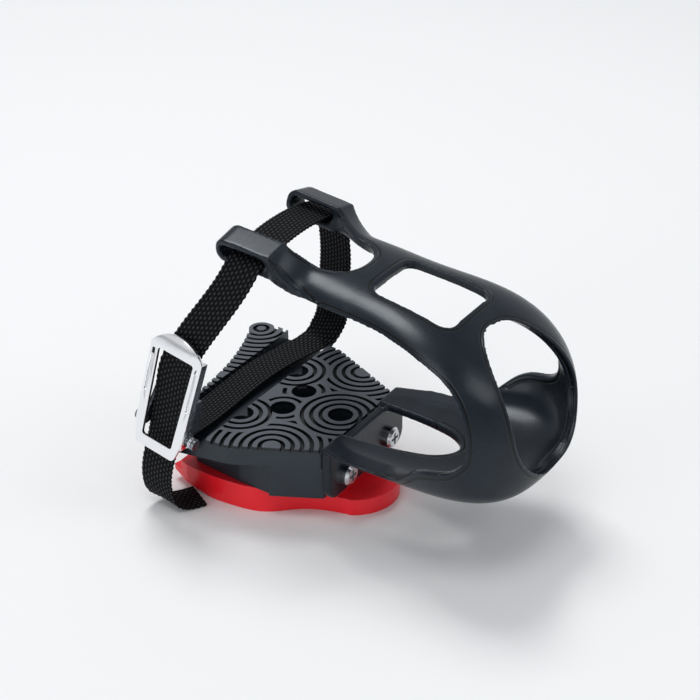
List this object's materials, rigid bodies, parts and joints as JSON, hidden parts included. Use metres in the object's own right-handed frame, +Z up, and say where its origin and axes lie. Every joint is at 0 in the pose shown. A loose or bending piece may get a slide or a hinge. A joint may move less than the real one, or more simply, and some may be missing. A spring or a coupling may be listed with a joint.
{
  "type": "toe clip pedal adaptor",
  "caption": "Tread platform on a bolt-on cleat, with a moulded toe cage and a webbing strap in a sprung buckle, that clips to a pedal and holds the toe of an ordinary shoe.",
  "frame": {"origin": "on the ground, on the underside of the cleat, below the middle of the two-bolt holes", "axes": "+X to the toe, +Y to the rider's left, +Z up"},
  "size_m": [0.1538, 0.1017, 0.1059],
  "materials": {
    "tread_plastic": "satin black moulding",
    "cage_plastic": "satin blue-black moulding",
    "cleat_plastic": "red moulding",
    "webbing": "black woven webbing",
    "buckle_chrome": "bright plating",
    "bracket_steel": "dark plated steel",
    "screw_steel": "bright plated steel",
    "fastener_steel": "plain steel"
  },
  "bodies": {
    "adaptor": {"platform": "tread_plastic", "cleat": "cleat_plastic", "cleat_bolts": "fastener_steel", "cleat_washers": "fastener_steel", "cleat_nuts": "fastener_steel", "toe_cage": "cage_plastic", "cage_screws": "screw_steel", "cage_nuts": "fastener_steel", "buckle_base": "bracket_steel", "buckle_pivots": "buckle_chrome", "buckle_roller": "bracket_steel", "roller_pin": "bracket_steel", "strap_bar": "bracket_steel", "buckle_spring": "bracket_steel", "strap": "webbing"},
    "lever": {"buckle_lever": "buckle_chrome"}
  },
  "joints": [
    {"name": "lever_pivot", "type": "hinge", "parent": "adaptor", "child": "lever", "pos_m": [-0.02179, -0.04855, 0.03638], "axis": [0.9788, -0.0297, -0.2029], "range_deg": [0, 15], "stiffness_Nm_per_rad": 0.05, "springref_deg": -17.19}
  ]
}
